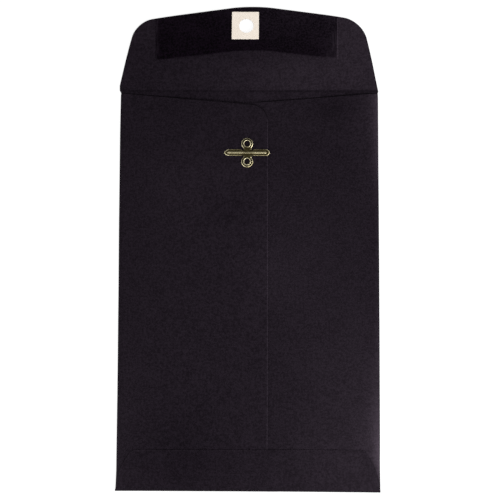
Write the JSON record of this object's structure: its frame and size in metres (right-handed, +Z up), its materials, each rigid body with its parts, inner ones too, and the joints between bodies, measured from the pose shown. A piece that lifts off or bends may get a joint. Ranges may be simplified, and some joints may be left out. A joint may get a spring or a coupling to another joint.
{
  "type": "clasp envelope",
  "caption": "Flat open-end paper envelope with a gummed closure flap, a punched reinforcing patch and a stamped metal clasp whose prongs bend up through the flap's hole to hold it shut.",
  "frame": {"origin": "middle of the open envelope's outline, on the surface that it lies on", "axes": "+Y from the pocket's closed end towards the closure flap, +Z up out of the clasp side, +X to the right seen from the clasp side"},
  "size_m": [0.1508, 0.2794, 0.0023],
  "materials": {
    "black_paper": "uncoated black paper with a faint fibre grain",
    "dried_gum": "dried remoistenable gum, slightly glossy",
    "cream_card": "uncoated cream paper patch",
    "dull_brass": "dull stamped brass"
  },
  "bodies": {
    "envelope": {"front_panel": "black_paper", "left_side_fold": "black_paper", "right_side_fold": "black_paper", "left_back_panel": "black_paper", "right_back_panel": "black_paper", "bottom_fold": "black_paper", "bottom_flap": "black_paper", "seam_gum": "dried_gum", "bottom_gum": "dried_gum", "clasp_base": "dull_brass"},
    "flap": {"closure_flap": "black_paper", "closure_gum": "dried_gum", "flap_patch": "cream_card"},
    "prong_left": {"left_prong": "dull_brass"},
    "prong_right": {"right_prong": "dull_brass"}
  },
  "joints": [
    {"name": "flap_hinge", "type": "hinge", "parent": "envelope", "child": "flap", "pos_m": [0, 0.0905, 0.00097], "axis": [1, 0, 0], "range_deg": [0, 177]},
    {"name": "left_prong_bend", "type": "hinge", "parent": "envelope", "child": "prong_left", "pos_m": [-0.0028, 0.054, 0.00181], "axis": [0, 1, 0], "range_deg": [0, 90]},
    {"name": "right_prong_bend", "type": "hinge", "parent": "envelope", "child": "prong_right", "pos_m": [0.0004, 0.054, 0.00181], "axis": [0, -1, 0], "range_deg": [0, 90]}
  ]
}
